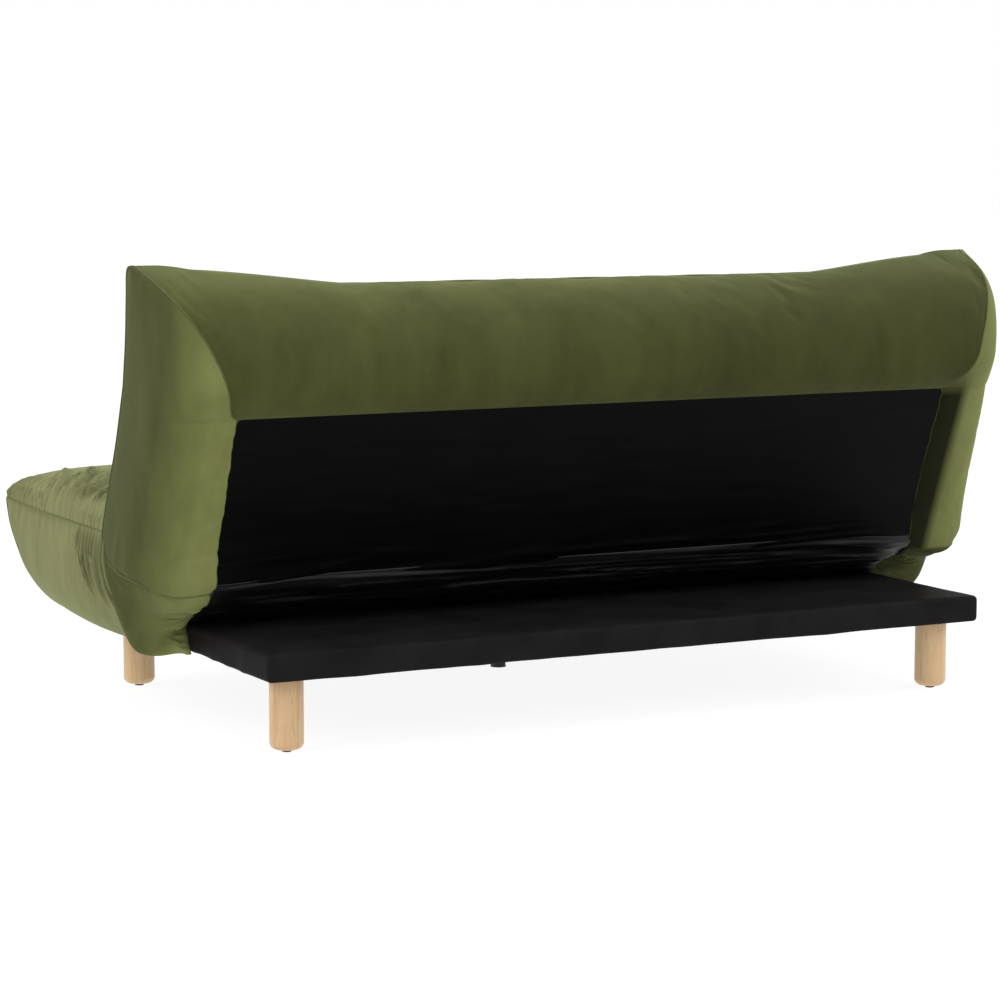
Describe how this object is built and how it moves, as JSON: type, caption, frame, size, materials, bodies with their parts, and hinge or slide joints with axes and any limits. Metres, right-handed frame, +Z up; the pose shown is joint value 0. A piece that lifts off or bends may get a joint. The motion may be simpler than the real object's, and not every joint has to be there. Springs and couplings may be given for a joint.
{
  "type": "futon sofa bed",
  "caption": "Upholstered sofa bed whose hinged back locks upright, lounges, or reclines flat over a low platform on turned wooden legs.",
  "frame": {"origin": "on the floor under the middle of the whole object", "axes": "+X to the sitter's left, -Y the way the sitter faces, +Z up"},
  "size_m": [1.9, 1.072, 0.8997],
  "materials": {
    "green_velvet": "soft velvet pile",
    "black_nonwoven": "matt non-woven cloth",
    "turned_wood": "satin clear lacquer",
    "softwood": "sawn",
    "plywood": "sanded",
    "dark_plastic": "moulded",
    "holder_plastic": "moulded",
    "black_steel": "powder coat",
    "zinc_steel": "zinc plated",
    "spring_steel": "oiled"
  },
  "bodies": {
    "base": {"base_bottom_lining": "black_nonwoven", "base_centre_rails": "softwood", "base_deck_board": "plywood", "base_front_rail": "softwood", "base_left_rail": "softwood", "base_rear_rail": "softwood", "base_right_rail": "softwood", "base_top_cover": "black_nonwoven", "centre_leg": "black_steel", "centre_leg_foot": "dark_plastic", "centre_leg_plate": "black_steel", "corner_blocks": "softwood", "gap_cloth": "black_nonwoven", "glide_front_left": "dark_plastic", "glide_front_right": "dark_plastic", "glide_rear_left": "dark_plastic", "glide_rear_right": "dark_plastic", "left_hinge_plate": "zinc_steel", "leg_bolts": "zinc_steel", "leg_front_left": "turned_wood", "leg_front_right": "turned_wood", "leg_nuts": "zinc_steel", "leg_rear_left": "turned_wood", "leg_rear_right": "turned_wood", "right_hinge_plate": "zinc_steel", "seat_centre_tube": "black_steel", "seat_cushion": "green_velvet", "seat_frame_bolts": "zinc_steel", "seat_front_apron": "green_velvet", "seat_front_tube": "black_steel", "seat_hinge_bolts": "zinc_steel", "seat_left_skirt": "green_velvet", "seat_left_tube": "black_steel", "seat_rear_tube": "black_steel", "seat_right_skirt": "green_velvet", "seat_right_tube": "black_steel", "seat_slat_holders": "holder_plastic", "seat_slats": "plywood"},
    "back": {"back_bottom_tube": "black_steel", "back_centre_tube": "black_steel", "back_cushion": "green_velvet", "back_hinge_bolts": "zinc_steel", "back_left_tube": "black_steel", "back_left_wing": "green_velvet", "back_panel_cover": "black_nonwoven", "back_right_tube": "black_steel", "back_right_wing": "green_velvet", "back_slat_holders": "holder_plastic", "back_slats": "plywood", "back_top_band": "green_velvet", "back_top_tube": "black_steel", "left_hinge_arm": "zinc_steel", "left_pawl_pin": "zinc_steel", "left_pivot_pin": "zinc_steel", "pawl_springs": "spring_steel", "right_hinge_arm": "zinc_steel", "right_pawl_pin": "zinc_steel", "right_pivot_pin": "zinc_steel"},
    "pawl_left": {"left_pawl": "zinc_steel"},
    "pawl_right": {"right_pawl": "zinc_steel"}
  },
  "joints": [
    {"name": "back_recline", "type": "hinge", "parent": "base", "child": "back", "pos_m": [0, 0.178, 0.283], "axis": [-1, 0, 0], "range_deg": [-10, 68], "deforming": ["gap_cloth"]},
    {"name": "left_pawl_swing", "type": "hinge", "parent": "back", "child": "pawl_left", "pos_m": [0.772, 0.22123, 0.32593], "axis": [1, 0, 0], "range_deg": [-6, 8], "stiffness_Nm_per_rad": 0.4, "springref_deg": 7.45},
    {"name": "right_pawl_swing", "type": "hinge", "parent": "back", "child": "pawl_right", "pos_m": [-0.772, 0.22123, 0.32593], "axis": [1, 0, 0], "range_deg": [-6, 8], "stiffness_Nm_per_rad": 0.4, "springref_deg": 7.45}
  ]
}
